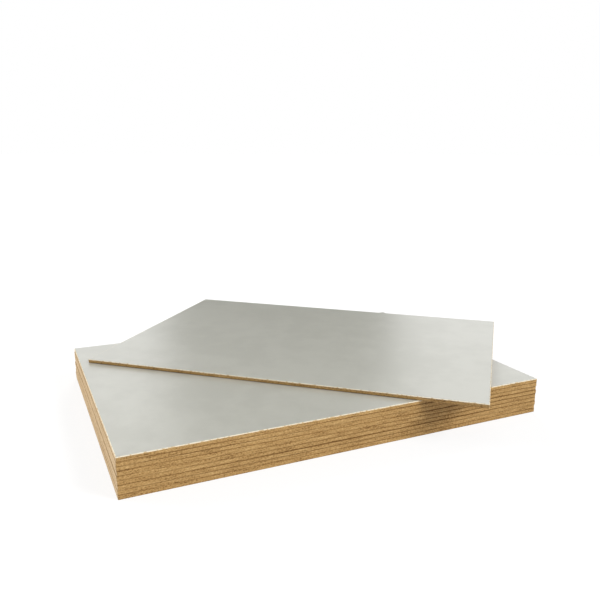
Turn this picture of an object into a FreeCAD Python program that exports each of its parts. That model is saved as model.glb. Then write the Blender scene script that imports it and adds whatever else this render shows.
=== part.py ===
import FreeCAD, Part
import Sketcher
import os

# A stack of A3 hardboard sheets: a squared pile, and one more sheet laid askew on top of it.
#
# Frame: +Z up, +X along the pile's long side, +Y along its short side, towards the back.
# The origin is the centre of the bottom sheet's underside, which is what the pile rests on.
# Every sheet is one board of pressed wood fibre, sawn to size, with a small arris on each edge.

OUT_FOLDER = "parts"

# Driving dimensions, as alias, value and meaning. Lengths are in millimetres and angles in degrees.
SIZES = [
    ("board_length", 420.0, "long side of a sheet, A3"),
    ("board_width", 297.0, "short side of a sheet, A3"),
    ("board_thickness", 4.0, "thickness of a sheet"),
    ("arris_radius", 0.25, "small round on every sawn edge"),
    ("pile_count", 9, "sheets in the squared pile"),
    ("slip", 0.25, "how far a squared sheet lies off the bottom sheet"),
    ("slip_turn", 137.5, "turn of the slip's direction from one sheet to the next"),
    ("askew_turn", 41.5, "clockwise turn of the askew sheet, seen from above"),
    ("corner_past_front", 41.5, "askew sheet's front corner, out past the pile's front"),
    ("corner_from_right", 96.5, "askew sheet's front corner, in from the pile's right end"),
]


def make_size_sheet(doc):
    """The spreadsheet that holds every driving dimension, one a row, each cell with its alias."""
    sizes = doc.addObject("Spreadsheet::Sheet", "sizes")
    for row, (alias, value, meaning) in enumerate(SIZES, start=1):
        sizes.set(f"A{row}", alias)
        sizes.set(f"B{row}", str(value))
        sizes.set(f"C{row}", meaning)
        sizes.setAlias(f"B{row}", alias)
    doc.recompute()
    return sizes


def origin_plane(body, role):
    """One of a body's own origin planes."""
    return next(f for f in body.Origin.OriginFeatures if f.Role == role)


def draw_outline(body, name):
    """A sketch of the sheet's rectangle, centred on the body's origin."""
    outline = body.newObject("Sketcher::SketchObject", name + "_outline")
    outline.AttachmentSupport = [(origin_plane(body, "XY_Plane"), "")]
    outline.MapMode = "FlatFace"

    half_x, half_y = 100.0, 50.0  # a first shape only: the named constraints set the size
    corners = [(-half_x, -half_y), (half_x, -half_y), (half_x, half_y), (-half_x, half_y)]
    for (x0, y0), (x1, y1) in zip(corners, corners[1:] + corners[:1]):
        start, end = FreeCAD.Vector(x0, y0, 0), FreeCAD.Vector(x1, y1, 0)
        outline.addGeometry(Part.LineSegment(start, end), False)

    front, right, back, left = range(4)
    start_point, end_point = 1, 2
    for line, following in ((front, right), (right, back), (back, left), (left, front)):
        outline.addConstraint(
            Sketcher.Constraint("Coincident", line, end_point, following, start_point)
        )
    for line in (front, back):
        outline.addConstraint(Sketcher.Constraint("Horizontal", line))
    for line in (right, left):
        outline.addConstraint(Sketcher.Constraint("Vertical", line))
    sketch_origin = (-1, 1)
    outline.addConstraint(
        Sketcher.Constraint("Symmetric", front, start_point, back, start_point, *sketch_origin)
    )
    for side, first_length, alias in (
        (front, 2 * half_x, "board_length"),
        (right, 2 * half_y, "board_width"),
    ):
        index = outline.addConstraint(
            Sketcher.Constraint("Distance", side, start_point, side, end_point, first_length)
        )
        outline.renameConstraint(index, alias)
        outline.setExpression("Constraints." + alias, "sizes." + alias)


def make_board(doc, name):
    """One sheet as a body at the origin: its outline, padded to the thickness, all edges eased."""
    body = doc.addObject("PartDesign::Body", name)
    body.Label = name
    draw_outline(body, name)
    pad = body.newObject("PartDesign::Pad", name + "_board")
    pad.Profile = doc.getObject(name + "_outline")
    pad.setExpression("Length", "sizes.board_thickness")
    doc.recompute()
    arris = body.newObject("PartDesign::Fillet", name + "_arris")
    arris.Base = (pad, [""])
    arris.UseAllEdges = True
    arris.setExpression("Radius", "sizes.arris_radius")
    body.Tip = arris
    return body


def make_pile(doc, count):
    """The squared pile, bottom sheet first. That sheet is the datum, and stays at the origin."""
    pile = []
    for layer in range(count):
        body = make_board(doc, f"pile_sheet_{layer + 1:02d}")
        if layer > 0:
            direction = f"({layer} * sizes.slip_turn * 1 deg)"
            body.setExpression("Placement.Base.x", f"sizes.slip * cos{direction}")
            body.setExpression("Placement.Base.y", f"sizes.slip * sin{direction}")
            body.setExpression("Placement.Base.z", f"{layer} * sizes.board_thickness")
        pile.append(body)
    return pile


def make_askew_sheet(doc):
    """The top sheet, turned, placed by its front corner, which hangs out over the pile's front."""
    body = make_board(doc, "askew_sheet")
    turn = "(-sizes.askew_turn * 1 deg)"
    half_long, half_short = "(sizes.board_length / 2)", "(sizes.board_width / 2)"
    corner_x = f"({half_long} - sizes.corner_from_right)"
    corner_y = f"(-{half_short} - sizes.corner_past_front)"
    body.Placement.Rotation.Axis = FreeCAD.Vector(0, 0, 1)
    body.setExpression("Placement.Rotation.Angle", turn)
    body.setExpression(
        "Placement.Base.x", f"{corner_x} - {half_long} * cos{turn} - {half_short} * sin{turn}"
    )
    body.setExpression(
        "Placement.Base.y", f"{corner_y} - {half_long} * sin{turn} + {half_short} * cos{turn}"
    )
    body.setExpression("Placement.Base.z", "sizes.pile_count * sizes.board_thickness")
    return body


def check(doc, bodies):
    """Stops if any object failed to compute, or any sheet isn't one valid closed solid."""
    failed = [o.Label for o in doc.Objects if {"Invalid", "Error"} & set(o.State)]
    if failed:
        raise RuntimeError("failed objects: " + ", ".join(failed))
    for body in bodies:
        shape = body.Shape
        if shape.isNull() or not shape.isValid() or len(shape.Solids) != 1:
            raise RuntimeError(body.Label + " isn't one valid solid")


def write_steps(bodies):
    """Writes each sheet to its own STEP file, named by its label."""
    os.makedirs(OUT_FOLDER, exist_ok=True)
    for body in bodies:
        body.Shape.exportStep(os.path.join(OUT_FOLDER, body.Label + ".step"))


def report_sizes(bodies):
    """Prints each sheet's volume and box."""
    for body in bodies:
        box = body.Shape.BoundBox
        print(
            f"{body.Label:15s} volume {body.Shape.Volume:9.1f}"
            f"  x {box.XMin:7.2f} to {box.XMax:7.2f}"
            f"  y {box.YMin:7.2f} to {box.YMax:7.2f}"
            f"  z {box.ZMin:5.2f} to {box.ZMax:5.2f}"
        )


def main():
    doc = FreeCAD.newDocument("hardboard_stack")
    sizes = make_size_sheet(doc)
    bodies = make_pile(doc, int(sizes.pile_count))
    bodies.append(make_askew_sheet(doc))
    doc.recompute()
    check(doc, bodies)
    write_steps(bodies)
    report_sizes(bodies)


main()
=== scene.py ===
"""The looks of a stack of hardboard sheets: nine squared sheets and one laid askew on top.

Every sheet is a detailed board that stands for its CAD node. A board has a pale coated face, a cream line
where that coat ends which is a painted highlight, sawn edges of brown pressed fibre and a screen-marked
back.
"""

import logging
import math
import random
from dataclasses import dataclass, field
from enum import IntEnum
from typing import Optional, Sequence, Union

import bmesh
import bpy
from mathutils import Matrix, Vector, noise

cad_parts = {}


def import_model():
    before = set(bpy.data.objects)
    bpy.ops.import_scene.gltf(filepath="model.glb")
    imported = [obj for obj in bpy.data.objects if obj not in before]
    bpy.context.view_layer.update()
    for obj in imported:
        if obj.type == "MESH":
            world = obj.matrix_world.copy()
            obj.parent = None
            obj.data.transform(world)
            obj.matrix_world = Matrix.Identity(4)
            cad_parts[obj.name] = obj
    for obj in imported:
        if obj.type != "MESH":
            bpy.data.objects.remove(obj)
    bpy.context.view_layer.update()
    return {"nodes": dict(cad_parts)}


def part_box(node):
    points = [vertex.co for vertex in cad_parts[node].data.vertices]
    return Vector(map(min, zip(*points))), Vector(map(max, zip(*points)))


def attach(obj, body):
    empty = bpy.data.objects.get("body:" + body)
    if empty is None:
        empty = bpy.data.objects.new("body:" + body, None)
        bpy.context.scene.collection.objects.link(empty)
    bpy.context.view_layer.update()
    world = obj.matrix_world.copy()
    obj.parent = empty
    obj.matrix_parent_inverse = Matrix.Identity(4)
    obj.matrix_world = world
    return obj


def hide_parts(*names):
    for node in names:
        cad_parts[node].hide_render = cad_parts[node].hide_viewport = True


MM = 0.001
UV_MAP = "board"
MAP_STEP = 1.7  # how far apart the maps of two neighbouring boards lie, in metres
SEED_STEP = 10.0  # how far apart the edge patterns of two neighbouring boards lie
LEVEL = 0.99  # a face whose normal is at least this near to upright lies level
LEANING = 0.1  # a face whose normal rises more than this belongs to the upper arris
LOG = logging.getLogger("hardboard_stack")

Colour = tuple[float, float, float]
Number = Union[float, bpy.types.NodeSocket]


class Skin(IntEnum):
    """The finishes of a board, in the order of its material slots."""

    COAT = 0
    RIM_HIGHLIGHT = 1
    SIDES = 2
    LIT_ENDS = 3
    BACK = 4


def linear(red: int, green: int, blue: int) -> Colour:
    """Turns a colour given in 8-bit display values into linear light.

    Args:
        red: Red, 0 to 255.
        green: Green, 0 to 255.
        blue: Blue, 0 to 255.

    Returns:
        The colour as three linear values.
    """
    def one(value: int) -> float:
        """One display value as linear light."""
        share = value / 255
        return share / 12.92 if share <= 0.04045 else ((share + 0.055) / 1.055) ** 2.4

    return one(red), one(green), one(blue)


# ---------------------------------------------------------------------------------------- finishes


class Graph:
    """A material's node tree, with one short method for each kind of node that the finishes use."""

    def __init__(self, name: str) -> None:
        """Makes a material with a Principled surface.

        Args:
            name: The material's name.
        """
        self.material = bpy.data.materials.new(name)
        self.material.use_nodes = True
        self.tree = self.material.node_tree
        self.surface = self.tree.nodes["Principled BSDF"]

    def put(self, socket: bpy.types.NodeSocket, value: object) -> None:
        """Sets a socket to a constant, or links another node's output to it."""
        if isinstance(value, bpy.types.NodeSocket):
            self.tree.links.new(value, socket)
        elif isinstance(value, tuple) and len(value) == 3 and socket.type == "RGBA":
            socket.default_value = (*value, 1.0)
        else:
            socket.default_value = value

    def board_map(self) -> bpy.types.NodeSocket:
        """The board's own map, in metres: along and up its edges, or across its faces."""
        node = self.tree.nodes.new("ShaderNodeUVMap")
        node.uv_map = UV_MAP
        return node.outputs["UV"]

    def stretch(self, vector: bpy.types.NodeSocket, per_metre: Sequence[float]) -> bpy.types.NodeSocket:
        """Scales a map.

        Args:
            vector: The map.
            per_metre: Features for each metre along the map's two directions.

        Returns:
            The scaled map.
        """
        node = self.tree.nodes.new("ShaderNodeMapping")
        self.put(node.inputs["Vector"], vector)
        node.inputs["Scale"].default_value = (*per_metre, 1.0)
        return node.outputs["Vector"]

    def cloud(
        self, vector: bpy.types.NodeSocket, detail: float = 3.0, roughness: float = 0.55
    ) -> bpy.types.NodeSocket:
        """Fractal noise of unit scale, centred on a half.

        Args:
            vector: The scaled map that it follows.
            detail: Octaves.
            roughness: How strong the finer octaves are.

        Returns:
            The noise value.
        """
        node = self.tree.nodes.new("ShaderNodeTexNoise")
        node.noise_dimensions = "2D"
        self.put(node.inputs["Vector"], vector)
        node.inputs["Scale"].default_value = 1.0
        node.inputs["Detail"].default_value = detail
        node.inputs["Roughness"].default_value = roughness
        return node.outputs["Fac"]

    def span(
        self, value: bpy.types.NodeSocket, low: float, high: float, at_low: float, at_high: float
    ) -> bpy.types.NodeSocket:
        """Maps a value's range smoothly to another, held at both ends.

        Args:
            value: What is mapped.
            low: The value that gives at_low.
            high: The value that gives at_high.
            at_low: The result at and below low.
            at_high: The result at and above high.

        Returns:
            The mapped value.
        """
        node = self.tree.nodes.new("ShaderNodeMapRange")
        node.interpolation_type = "SMOOTHSTEP"
        settings = {
            "Value": value, "From Min": low, "From Max": high, "To Min": at_low, "To Max": at_high,
        }
        for name, setting in settings.items():
            self.put(node.inputs[name], setting)
        return node.outputs["Result"]

    def sum(self, operation: str, first: Number, second: Number = 0.0) -> bpy.types.NodeSocket:
        """One step of arithmetic, named as Blender's Math node names it."""
        node = self.tree.nodes.new("ShaderNodeMath")
        node.operation = operation
        self.put(node.inputs[0], first)
        self.put(node.inputs[1], second)
        return node.outputs["Value"]

    def part_of(self, vector: bpy.types.NodeSocket, axis: str) -> bpy.types.NodeSocket:
        """One coordinate, "X" or "Y", of a map."""
        node = self.tree.nodes.new("ShaderNodeSeparateXYZ")
        self.put(node.inputs["Vector"], vector)
        return node.outputs[axis]

    def blend(self, share: Number, first: object, second: object, mode: str = "MIX") -> bpy.types.NodeSocket:
        """Mixes two colours.

        Args:
            share: How much of the second shows.
            first: A colour, or a socket that gives one.
            second: A colour, or a socket that gives one.
            mode: Blender's name for the way they mix.

        Returns:
            The mixed colour.
        """
        node = self.tree.nodes.new("ShaderNodeMix")
        node.data_type = "RGBA"
        node.blend_type = mode
        self.put(node.inputs["Factor"], share)
        self.put(node.inputs[6], first)
        self.put(node.inputs[7], second)
        return node.outputs[2]

    def relief(self, height: bpy.types.NodeSocket, depth: float) -> None:
        """Lets a height, of 0 to 1, stand out from the surface.

        Args:
            height: The height.
            depth: What a height of 1 is, in metres.
        """
        node = self.tree.nodes.new("ShaderNodeBump")
        node.inputs["Strength"].default_value = 1.0
        node.inputs["Distance"].default_value = depth
        self.put(node.inputs["Height"], height)
        self.put(self.surface.inputs["Normal"], node.outputs["Normal"])

    def finish(self, colour: object, roughness: Number) -> bpy.types.Material:
        """Sets the surface's colour and roughness, and hands back the material."""
        self.put(self.surface.inputs["Base Color"], colour)
        self.put(self.surface.inputs["Roughness"], roughness)
        return self.material


@dataclass(frozen=True)
class CoatFinish:
    """The pale satin coat on a board's face: broad and small clouds, and a fine rolled texture."""

    pale: Colour = linear(184, 184, 174)
    dull: Colour = linear(177, 177, 167)
    broad_per_metre: float = 11.0
    clouds_per_metre: float = 42.0
    rolled_per_metre: float = 1400.0
    relief: float = 0.008 * MM
    lacquer: float = 1.0
    lacquer_roughness: float = 0.30
    lacquer_ior: float = 1.65

    def material(self) -> bpy.types.Material:
        """Makes the coat's material."""
        graph = Graph("coat")
        place = graph.board_map()
        clouds = graph.cloud(graph.stretch(place, (self.clouds_per_metre,) * 2), detail=4.0)
        rolled = graph.cloud(graph.stretch(place, (self.rolled_per_metre,) * 2), detail=2.0)
        broad = graph.cloud(graph.stretch(place, (self.broad_per_metre,) * 2), detail=2.0)
        mottle = graph.sum("MULTIPLY", graph.sum("ADD", clouds, broad), 0.5)
        colour = graph.blend(graph.span(mottle, 0.38, 0.62, 0.0, 1.0), self.pale, self.dull)
        graph.relief(rolled, self.relief)
        graph.surface.inputs["Coat Weight"].default_value = self.lacquer
        graph.surface.inputs["Coat Roughness"].default_value = self.lacquer_roughness
        graph.surface.inputs["Coat IOR"].default_value = self.lacquer_ior
        return graph.finish(colour, graph.span(broad, 0.2, 0.8, 0.32, 0.38))


@dataclass(frozen=True)
class RimHighlightFinish:
    """A painted highlight: a cream line on the upward-facing part of an open arris where the coat meets the
    sawn edge, lighter than the coat for the light that catches the arris, with small gaps where it has
    chipped to bare fibre.
    """

    # The cream is a painted highlight, lighter than the coat; bare is the fibre where the coat has chipped.
    cream_highlight: Colour = linear(246, 236, 212)
    bare: Colour = linear(214, 190, 148)
    chips_per_metre: float = 240.0

    def material(self) -> bpy.types.Material:
        """Makes the rim's material."""
        graph = Graph("coat_rim_highlight")
        chips = graph.cloud(graph.stretch(graph.board_map(), (self.chips_per_metre,) * 2), detail=2.0)
        colour = graph.blend(graph.span(chips, 0.5, 0.66, 0.0, 1.0), self.cream_highlight, self.bare)
        return graph.finish(colour, 0.6)


@dataclass(frozen=True)
class FibreFinish:
    """The sawn edge of pressed fibre: lengthwise streaks, speckled tufts, and dark lines by the faces,
    partly frayed fibre and partly painted shade in the joints between sheets.
    """

    name: str = "sawn_sides"
    light: Colour = linear(218, 182, 124)
    middle: Colour = linear(188, 149, 93)
    dark: Colour = linear(118, 84, 41)
    streaks_per_metre: tuple[float, float] = (60.0, 800.0)
    tufts_per_metre: tuple[float, float] = (520.0, 900.0)
    patches_per_metre: tuple[float, float] = (14.0, 60.0)
    lines_per_metre: tuple[float, float] = (4.0, 4.0)
    shares: tuple[float, float, float] = (0.3, 0.55, 0.15)
    relief: float = 0.12 * MM

    def material(self, thickness: float) -> bpy.types.Material:
        """Makes the sawn edge's material.

        Args:
            thickness: The board's thickness, which is how high the map runs.

        Returns:
            The material.
        """
        graph = Graph(self.name)
        place = graph.board_map()
        streaks = graph.cloud(graph.stretch(place, self.streaks_per_metre), detail=4.0)
        tufts = graph.cloud(graph.stretch(place, self.tufts_per_metre), detail=4.0, roughness=0.7)
        patches = graph.cloud(graph.stretch(place, self.patches_per_metre), detail=3.0)

        streaky, tufty, patchy = (
            graph.sum("MULTIPLY", layer, share)
            for layer, share in zip((streaks, tufts, patches), self.shares)
        )
        mixed = graph.sum("ADD", streaky, graph.sum("ADD", tufty, patchy))
        shade = graph.blend(graph.span(mixed, 0.5, 0.65, 0.0, 1.0), self.middle, self.light)
        tone = graph.blend(graph.span(mixed, 0.35, 0.5, 1.0, 0.0), shade, self.dark)

        # Darker bands by both faces: partly frayed fibre at the arris, partly painted shade where one sheet
        # meets the next.
        height = graph.part_of(place, "Y")
        from_middle = graph.sum("ABSOLUTE", graph.sum("SUBTRACT", height, thickness / 2))
        fray_and_joint_shade = graph.span(from_middle, 0.30 * thickness, 0.5 * thickness, 0.0, 1.0)
        runs = graph.cloud(graph.stretch(place, self.lines_per_metre), detail=2.0)
        line = graph.sum("MULTIPLY", fray_and_joint_shade, graph.span(runs, 0.38, 0.60, 0.25, 1.0))
        colour = graph.blend(line, tone, self.dark)
        graph.relief(mixed, self.relief)
        return graph.finish(colour, 0.85)


@dataclass(frozen=True)
class BackFinish:
    """The brown back, marked all over by the screen that the board was pressed on."""

    light: Colour = linear(158, 121, 80)
    dark: Colour = linear(118, 86, 54)
    screen_pitch: float = 1.4 * MM
    blotches_per_metre: float = 30.0
    fibres_per_metre: float = 500.0
    relief: float = 0.15 * MM

    def material(self) -> bpy.types.Material:
        """Makes the back's material."""
        graph = Graph("screen_back")
        place = graph.board_map()
        turns = 2 * math.pi / self.screen_pitch
        across, along = (
            graph.sum("SINE", graph.sum("MULTIPLY", graph.part_of(place, axis), turns))
            for axis in ("X", "Y")
        )
        screen = graph.span(graph.sum("MULTIPLY", across, along), -1.0, 1.0, 0.0, 1.0)
        blotches = graph.cloud(graph.stretch(place, (self.blotches_per_metre,) * 2), detail=5.0)
        fibres = graph.cloud(
            graph.stretch(place, (self.fibres_per_metre,) * 2), detail=3.0, roughness=0.7
        )
        tone = graph.blend(graph.span(blotches, 0.3, 0.7, 0.0, 1.0), self.light, self.dark)
        pressed = graph.blend(graph.span(screen, 0.0, 1.0, 0.35, 0.0), tone, self.dark)
        colour = graph.blend(graph.span(fibres, 0.35, 0.5, 0.5, 0.0), pressed, self.dark)
        graph.relief(screen, self.relief)
        return graph.finish(colour, 0.8)


# ------------------------------------------------------------------------------------------ boards


@dataclass
class BoardShape:
    """The sizes of a board's sawn edges, in metres."""

    corner_radius: float = 0.5 * MM
    top_arris: float = 0.70 * MM
    bottom_arris: float = 0.35 * MM
    covered_arris: tuple[float, float] = (0.25 * MM, 0.40 * MM)
    worn_arris: tuple[float, float] = (0.15 * MM, 0.25 * MM)
    loose_arris: float = 0.80 * MM
    pitch: float = 1.2 * MM
    rows: int = 3
    roughness_depth: float = 0.09 * MM
    saw_wander: float = 0.10 * MM
    torn_band: float = 0.60 * MM
    wander_per_metre: float = 25.0
    tufts_per_metre: float = 900.0


@dataclass
class Board:
    """One sheet of hardboard: its place, its sizes and its mesh.

    Attributes:
        node: The CAD node that it stands for, which also gives its name.
        length: Its long side.
        width: Its short side.
        thickness: Its thickness.
        middle: The middle of its underside.
        turn: Its turn about the upright, in radians.
        number: Its place in the stack, which seeds its pattern.
        shape: The sizes of its edges.
        open_rim: Whether its face's arris is open to view, with nothing squared on top of it.
        torn: The faces of the band where the coat is torn away, while its mesh is made.
    """

    node: str
    length: float
    width: float
    thickness: float
    middle: Vector
    turn: float
    number: int
    shape: BoardShape = field(default_factory=BoardShape)
    open_rim: bool = False
    torn: set[bmesh.types.BMFace] = field(default_factory=set)

    def build(self, skins: Sequence[bpy.types.Material]) -> bpy.types.Object:
        """Makes the board and lets it stand for its CAD node.

        Args:
            skins: Its materials, in the order of Skin.

        Returns:
            The board's object.
        """
        bm = bmesh.new()
        self._slab(bm)
        self._divide_walls(bm)
        self._ease_arrises(bm)
        self._divide_height(bm)
        if not self.open_rim:
            self._strip_coat(bm)
        bmesh.ops.recalc_face_normals(bm, faces=bm.faces)
        bm.normal_update()
        self._dress(bm)
        self._map(bm)
        self._roughen(bm)
        bmesh.ops.rotate(bm, verts=bm.verts, cent=(0, 0, 0), matrix=Matrix.Rotation(self.turn, 3, "Z"))
        bmesh.ops.translate(bm, verts=bm.verts, vec=self.middle)

        mesh = bpy.data.meshes.new(self.node + "_board")
        bm.to_mesh(mesh)
        bm.free()
        for skin in skins:
            mesh.materials.append(skin)
        board = bpy.data.objects.new(self.node + "_board", mesh)
        bpy.context.scene.collection.objects.link(board)
        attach(board, "root")
        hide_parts(self.node)
        LOG.info("%s: %d faces", board.name, len(mesh.polygons))
        return board

    def _slab(self, bm: bmesh.types.BMesh) -> None:
        """A plain slab on the floor, with its four upright corners rounded."""
        bmesh.ops.create_cube(bm, size=1.0)
        bmesh.ops.scale(bm, vec=(self.length, self.width, self.thickness), verts=bm.verts)
        bmesh.ops.translate(bm, vec=(0, 0, self.thickness / 2), verts=bm.verts)
        upright = [e for e in bm.edges if self._is_upright(e)]
        bmesh.ops.bevel(
            bm, geom=upright, offset=self.shape.corner_radius, offset_type="OFFSET",
            affect="EDGES", segments=3, profile=0.5, material=-1,
        )

    def _is_upright(self, edge: bmesh.types.BMEdge) -> bool:
        """Whether an edge runs up the board's wall."""
        first, second = (v.co for v in edge.verts)
        return abs(first.z - second.z) > 10 * (first.xy - second.xy).length

    def _divide_walls(self, bm: bmesh.types.BMesh) -> None:
        """Cuts the four walls into narrow columns, so that the saw's wander can show in them.

        The face and the back are taken off first and put back as one polygon each, because a cut
        would otherwise run on across them.
        """
        caps = [face for face in bm.faces if abs(face.normal.z) > LEVEL]
        bmesh.ops.delete(bm, geom=caps, context="FACES_ONLY")
        for axis, side in ((0, self.length), (1, self.width)):
            along = [
                e for e in bm.edges
                if abs(e.verts[0].co[axis] - e.verts[1].co[axis]) > 0.9 * side
            ]
            bmesh.ops.subdivide_edges(
                bm, edges=along, cuts=round(side / self.shape.pitch) - 1, use_grid_fill=True
            )
        for height in (0.0, self.thickness):
            bmesh.ops.edgeloop_fill(bm, edges=self._edges_at(bm, height))
        bmesh.ops.recalc_face_normals(bm, faces=bm.faces)

    def _edges_at(self, bm: bmesh.types.BMesh, height: float) -> list[bmesh.types.BMEdge]:
        """The level edges at a height. The board has none there but those of its outline."""
        near = 0.001 * MM
        return [e for e in bm.edges if all(abs(v.co.z - height) < near for v in e.verts)]

    def _ease_arrises(self, bm: bmesh.types.BMesh) -> None:
        """Rounds the arrises at the face and at the back."""
        for height, radius in (
            (self.thickness, self.shape.top_arris), (0.0, self.shape.bottom_arris),
        ):
            arris = self._edges_at(bm, height)
            bmesh.ops.bevel(
                bm, geom=arris, offset=radius, offset_type="OFFSET",
                affect="EDGES", segments=2, profile=0.5, material=-1,
            )

    def _strip_coat(self, bm: bmesh.types.BMesh) -> None:
        """Parts a narrow band from the coat all along its edge, where the saw has torn it away."""
        cap = max(bm.faces, key=lambda face: face.calc_area() * face.normal.z)
        ring = bmesh.ops.inset_region(bm, faces=[cap], thickness=self.shape.torn_band, use_boundary=True)
        self.torn = set(ring["faces"])

    def _divide_height(self, bm: bmesh.types.BMesh) -> None:
        """Cuts the walls into rows."""
        tall = [
            e for e in bm.edges
            if self._is_upright(e) and e.calc_length() > self.thickness / 2
        ]
        bmesh.ops.subdivide_edges(bm, edges=tall, cuts=self.shape.rows, use_grid_fill=True)

    def _dress(self, bm: bmesh.types.BMesh) -> None:
        """Gives each face its finish by the way it points."""
        for face in bm.faces:
            up = face.normal.z
            if face in self.torn:
                face.material_index = Skin.SIDES
            elif up > LEVEL:
                face.material_index = Skin.COAT
            elif up < -LEVEL:
                face.material_index = Skin.BACK
            # Painted highlight: the upward-facing faces of an open arris get the rim's cream, lighter than
            # the coat.
            elif up > LEANING and self.open_rim:
                face.material_index = Skin.RIM_HIGHLIGHT
            # The end walls take the lighter copy of the fibre, which is painted light.
            elif abs(face.normal.y) > abs(face.normal.x):
                face.material_index = Skin.SIDES
            else:
                face.material_index = Skin.LIT_ENDS
            face.smooth = abs(up) < LEVEL

    def _map(self, bm: bmesh.types.BMesh) -> None:
        """Writes the board's map: along and up on the walls, and across on the faces."""
        layer = bm.loops.layers.uv.new(UV_MAP)
        offset = MAP_STEP * self.number
        for face in bm.faces:
            for loop in face.loops:
                at = loop.vert.co
                if abs(face.normal.z) > LEVEL:
                    loop[layer].uv = (at.x + offset, at.y)
                else:
                    loop[layer].uv = (self._way_round(at, face.normal) + offset, at.z)

    def _way_round(self, at: Vector, normal: Vector) -> float:
        """How far round the board's walls a point lies.

        Args:
            at: The point.
            normal: The way its wall faces.

        Returns:
            The distance, from the front left corner to the right.
        """
        half_length, half_width = self.length / 2, self.width / 2
        if abs(normal.y) >= abs(normal.x):
            if normal.y < 0:
                return at.x + half_length
            return self.length + self.width + half_length - at.x
        if normal.x > 0:
            return self.length + at.y + half_width
        return 2 * self.length + self.width + half_width - at.y

    def _roughen(self, bm: bmesh.types.BMesh) -> None:
        """Draws the walls in a little, by the saw's slow wander and by torn tufts of fibre."""
        seed = Vector((0, 0, SEED_STEP * self.number))
        inward = {}
        for vert in bm.verts:
            if any(face.material_index in (Skin.SIDES, Skin.LIT_ENDS) for face in vert.link_faces):
                wander = 0.5 + 0.5 * noise.noise(vert.co * self.shape.wander_per_metre + seed)
                tufts = 0.5 + 0.5 * noise.fractal(vert.co * self.shape.tufts_per_metre + seed, 1.0, 2.0, 2)
                depth = self.shape.saw_wander * wander + self.shape.roughness_depth * max(tufts, 0.0)
                outward = Vector((vert.normal.x, vert.normal.y, 0.0))
                if outward.length > 0:
                    inward[vert] = outward.normalized() * -depth
        for vert, move in inward.items():
            vert.co += move


@dataclass
class HardboardStack:
    """The whole stack: the squared pile and the sheet that lies askew on it."""

    pile_prefix: str = "pile_sheet_"
    askew_node: str = "askew_sheet"
    seed: int = 12

    def build(self, nodes: dict[str, bpy.types.Object]) -> list[bpy.types.Object]:
        """Builds every board of the stack.

        Args:
            nodes: The CAD nodes, by name.

        Returns:
            The boards' objects, from the bottom up.
        """
        pile = sorted(name for name in nodes if name.startswith(self.pile_prefix))
        low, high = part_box(pile[0])
        size = high - low
        # Painted light: the end walls get a lighter, paler copy of the fibre colours than the side walls,
        # for the light that falls on the left end.
        ends_painted_lighter = FibreFinish(
            name="sawn_ends_painted_lighter", light=linear(230, 206, 168), middle=linear(210, 182, 142),
            dark=linear(162, 130, 90),
        )
        skins = [
            CoatFinish().material(), RimHighlightFinish().material(),
            FibreFinish().material(size.z), ends_painted_lighter.material(size.z), BackFinish().material(),
        ]
        boards = []
        draw = random.Random(self.seed)
        for number, node in enumerate(pile):
            low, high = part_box(node)
            middle = Vector(((low.x + high.x) / 2, (low.y + high.y) / 2, low.z))
            board = Board(node, size.x, size.y, size.z, middle, 0.0, number)
            board.open_rim = node == pile[-1]
            if not board.open_rim:
                board.shape.top_arris = draw.uniform(*board.shape.covered_arris)
            board.shape.bottom_arris = draw.uniform(*board.shape.worn_arris)
            boards.append(board.build(skins))
        low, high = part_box(self.askew_node)
        middle = Vector(((low.x + high.x) / 2, (low.y + high.y) / 2, low.z))
        turn = self._turn_of(nodes[self.askew_node])
        askew = Board(self.askew_node, size.x, size.y, size.z, middle, turn, len(pile))
        askew.open_rim = True
        askew.shape.bottom_arris = askew.shape.loose_arris
        boards.append(askew.build(skins))
        return boards

    def _turn_of(self, node: bpy.types.Object) -> float:
        """How far the askew sheet is turned, from the way its short right-hand end runs.

        Args:
            node: The sheet's CAD node.

        Returns:
            The turn about the upright, in radians.
        """
        corners = [vertex.co for vertex in node.data.vertices]
        front = min(corners, key=lambda co: co.y)
        right = max(corners, key=lambda co: co.x)
        return math.atan2(right.y - front.y, right.x - front.x) - math.pi / 2


# ------------------------------------------------------------------------------------------ studio


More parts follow.
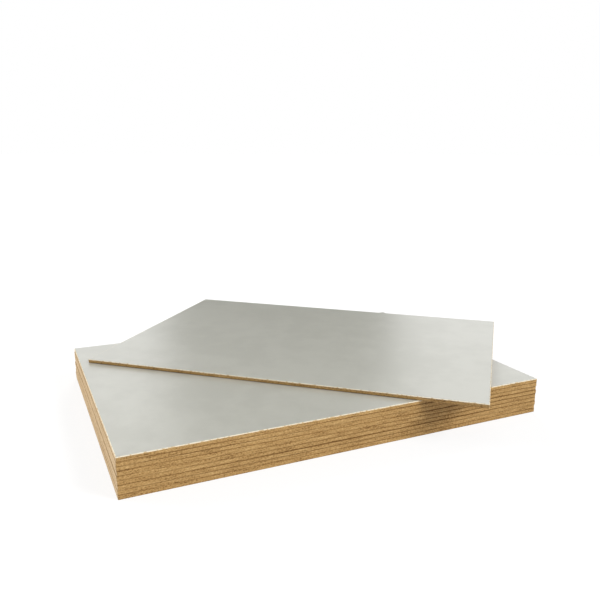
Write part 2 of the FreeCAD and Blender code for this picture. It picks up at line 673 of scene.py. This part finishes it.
@dataclass
class Studio:
    """The floor, the soft light and the camera."""

    key_strength: float = 2.2
    key_width: float = math.radians(28)
    key_from: Vector = field(default_factory=lambda: Vector((0.62, -0.55, 0.56)))
    fill_strength: float = 2.1
    fill_width: float = math.radians(30)
    fill_from: Vector = field(default_factory=lambda: Vector((-0.70, 0.64, 0.32)))
    rear_strength: float = 2.0
    rear_width: float = math.radians(20)
    rear_from: Vector = field(default_factory=lambda: Vector((0.30, 0.85, 0.24)))
    world_strength: float = 0.42
    flag_azimuth: float = math.radians(22.6)
    flag_distance: float = 3.0
    flag_width: float = 1.10
    flag_height: float = 2.6
    floor_radius: float = 20.0
    floor_glow: float = 0.80
    floor_seen: Colour = (0.25, 0.25, 0.25)
    floor_bounce: Colour = (0.7, 0.7, 0.7)
    camera_at: Vector = field(default_factory=lambda: Vector((-0.2688, -0.6140, 0.2663)))
    camera_azimuth: float = math.radians(24.53)
    camera_pitch: float = math.radians(13.43)
    camera_roll: float = math.radians(0.20)
    camera_view: float = math.radians(49.86)

    def build(self) -> None:
        """Builds the studio round the stack."""
        self._floor()
        self._flag()
        self._world()
        self._lamp("key_lamp", self.key_from, self.key_strength, self.key_width)
        self._lamp("fill_lamp", self.fill_from, self.fill_strength, self.fill_width)
        self._lamp("rear_lamp", self.rear_from, self.rear_strength, self.rear_width)
        self._camera()
        bpy.context.scene.view_settings.view_transform = "Standard"

    def _seen_share(self, tree: bpy.types.NodeTree) -> bpy.types.NodeSocket:
        """1 for a ray from the camera, or one that a glossy or clear surface sends on, and else 0."""
        path = tree.nodes.new("ShaderNodeLightPath")
        total = path.outputs["Is Camera Ray"]
        for name in ("Is Glossy Ray", "Is Transmission Ray"):
            node = tree.nodes.new("ShaderNodeMath")
            node.operation = "MAXIMUM"
            tree.links.new(total, node.inputs[0])
            tree.links.new(path.outputs[name], node.inputs[1])
            total = node.outputs["Value"]
        return total

    def _floor(self) -> None:
        """A round pale floor, which shows as white and keeps the stack's shadow."""
        bm = bmesh.new()
        bmesh.ops.create_circle(bm, cap_ends=True, segments=96, radius=self.floor_radius)
        mesh = bpy.data.meshes.new("floor")
        bm.to_mesh(mesh)
        bm.free()
        material = bpy.data.materials.new("floor")
        material.use_nodes = True
        tree = material.node_tree
        tree.nodes.clear()
        output = tree.nodes.new("ShaderNodeOutputMaterial")
        mix = tree.nodes.new("ShaderNodeMixShader")
        seen, bounce = (tree.nodes.new("ShaderNodeBsdfDiffuse") for _ in range(2))
        seen.inputs["Color"].default_value = (*self.floor_seen, 1.0)
        bounce.inputs["Color"].default_value = (*self.floor_bounce, 1.0)
        glow = tree.nodes.new("ShaderNodeEmission")
        glow.inputs["Strength"].default_value = self.floor_glow
        both = tree.nodes.new("ShaderNodeAddShader")
        tree.links.new(seen.outputs[0], both.inputs[0])
        tree.links.new(glow.outputs[0], both.inputs[1])
        tree.links.new(self._seen_share(tree), mix.inputs["Fac"])
        tree.links.new(bounce.outputs[0], mix.inputs[1])
        tree.links.new(both.outputs[0], mix.inputs[2])
        tree.links.new(mix.outputs[0], output.inputs["Surface"])
        mesh.materials.append(material)
        floor = bpy.data.objects.new("floor", mesh)
        bpy.context.scene.collection.objects.link(floor)

    def _world(self) -> None:
        """An even white sky, which shows as plain white and lights the stack softly."""
        world = bpy.data.worlds.new("studio")
        world.use_nodes = True
        bpy.context.scene.world = world
        tree = world.node_tree
        light = tree.nodes["Background"]
        light.inputs["Strength"].default_value = self.world_strength
        shown = tree.nodes.new("ShaderNodeBackground")
        shown.inputs["Color"].default_value = (1.0, 1.0, 1.0, 1.0)
        light.inputs["Color"].default_value = (1.0, 1.0, 1.0, 1.0)
        mix = tree.nodes.new("ShaderNodeMixShader")
        tree.links.new(self._seen_share(tree), mix.inputs["Fac"])
        tree.links.new(light.outputs[0], mix.inputs[1])
        tree.links.new(shown.outputs[0], mix.inputs[2])
        tree.links.new(mix.outputs[0], tree.nodes["World Output"].inputs["Surface"])

    def _flag(self) -> None:
        """A dark studio card far behind the stack, which shows only in the sheen of the coat."""
        bm = bmesh.new()
        bmesh.ops.create_grid(bm, x_segments=1, y_segments=1, size=0.5)
        bmesh.ops.scale(bm, vec=(self.flag_width, self.flag_height, 1.0), verts=bm.verts)
        upright = Matrix.Rotation(math.pi / 2, 3, "X")
        facing = Matrix.Rotation(-self.flag_azimuth, 3, "Z")
        bmesh.ops.rotate(bm, verts=bm.verts, cent=(0, 0, 0), matrix=facing @ upright)
        away = Vector((math.sin(self.flag_azimuth), math.cos(self.flag_azimuth), 0.0))
        place = self.camera_at + away * self.flag_distance
        place.z = self.flag_height / 2
        bmesh.ops.translate(bm, verts=bm.verts, vec=place)
        mesh = bpy.data.meshes.new("flag")
        bm.to_mesh(mesh)
        bm.free()
        material = bpy.data.materials.new("flag")
        material.use_nodes = True
        surface = material.node_tree.nodes["Principled BSDF"]
        surface.inputs["Base Color"].default_value = (0.02, 0.02, 0.02, 1.0)
        surface.inputs["Roughness"].default_value = 1.0
        mesh.materials.append(material)
        flag = bpy.data.objects.new("flag", mesh)
        flag.visible_camera = False
        flag.visible_diffuse = False
        flag.visible_shadow = False
        bpy.context.scene.collection.objects.link(flag)

    def _lamp(self, name: str, source: Vector, strength: float, width: float) -> None:
        """A soft lamp, far away. The sheen mirrors the white surroundings, and not the lamp.

        Args:
            name: The lamp's name.
            source: The direction that its light comes from.
            strength: Its strength on a surface that faces it.
            width: How wide it looks from the stack, in radians.
        """
        light = bpy.data.lights.new(name, "SUN")
        light.energy = strength
        light.angle = width
        lamp = bpy.data.objects.new(name, light)
        lamp.rotation_euler = source.to_track_quat("Z", "Y").to_euler()
        lamp.visible_glossy = False
        bpy.context.scene.collection.objects.link(lamp)

    def _camera(self) -> None:
        """The camera, in front of the stack and to its left."""
        lens = bpy.data.cameras.new("camera")
        lens.sensor_fit = "HORIZONTAL"
        lens.angle = self.camera_view
        lens.clip_start = 0.01
        lens.clip_end = 100.0
        camera = bpy.data.objects.new("camera", lens)
        camera.location = self.camera_at
        facing = Matrix.Rotation(-self.camera_azimuth, 4, "Z")
        tilt = Matrix.Rotation(math.pi / 2 - self.camera_pitch, 4, "X")
        roll = Matrix.Rotation(self.camera_roll, 4, "Z")
        camera.rotation_euler = (facing @ tilt @ roll).to_euler()
        bpy.context.scene.collection.objects.link(camera)
        bpy.context.scene.camera = camera


def corners(bounds: Optional[object]) -> list[float]:
    """A box's two corners as one plain list of numbers."""
    return [float(value) for corner in bounds for value in corner]


def main() -> None:
    """Builds the stack and its studio."""
    logging.basicConfig(level=logging.INFO, format="%(name)s: %(message)s")
    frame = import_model()
    boards = HardboardStack().build(frame["nodes"])
    Studio().build()
    LOG.info("%d boards in all", len(boards))


if __name__ == "__main__":
    main()
